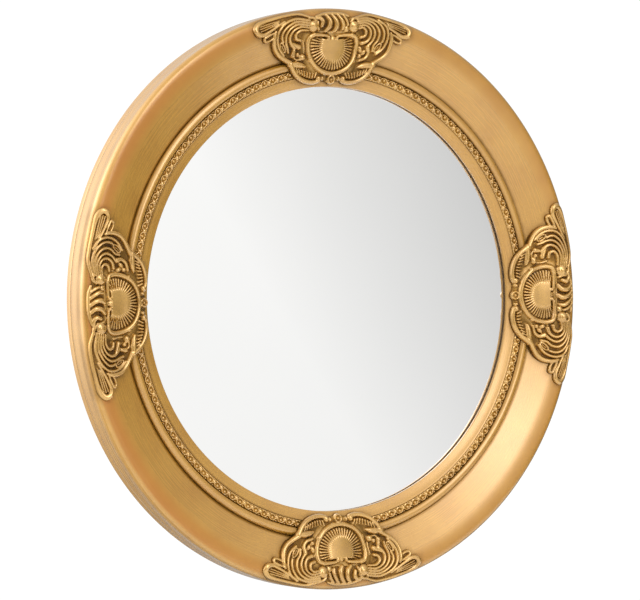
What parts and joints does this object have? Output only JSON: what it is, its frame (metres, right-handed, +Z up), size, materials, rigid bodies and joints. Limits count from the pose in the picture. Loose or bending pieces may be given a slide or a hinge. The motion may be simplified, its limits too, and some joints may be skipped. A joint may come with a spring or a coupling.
{
  "type": "wall mirror",
  "caption": "Round wall mirror in a deep moulded gilt frame with a beaded inner strip and applied cast ornaments, hung by a keyhole plate at the back.",
  "frame": {"origin": "on the wall side of the hanger plate, on the vertical centre line of the mirror, 203 mm above the mirror's axis", "axes": "+Y points from the mirror into the wall, the front faces -Y, +Z is up, +X is to the right as seen from the front"},
  "size_m": [0.5, 0.0359, 0.5],
  "materials": {
    "gilt_frame": "turned wood, satin antique-gold lacquer with fine brush streaks and brown patina in the quirks",
    "gilt_strip": "pressed beaded moulding, antique gold with brown patina between the beads",
    "gilt_ornament": "cast resin, antique gold rubbed off to brown in the hollows",
    "silvered_glass": "silvered float glass",
    "hardboard": "brown hardboard",
    "hanger_steel": "zinc-plated pressed steel",
    "screw_steel": "zinc-plated steel"
  },
  "bodies": {
    "root": {"frame": "gilt_frame", "beaded_strip": "gilt_strip", "ornament_top": "gilt_ornament", "ornament_right": "gilt_ornament", "ornament_bottom": "gilt_ornament", "ornament_left": "gilt_ornament", "mirror_glass": "silvered_glass", "back_board": "hardboard", "hanger_plate": "hanger_steel", "screw_lower": "screw_steel", "screw_upper": "screw_steel"}
  },
  "joints": []
}
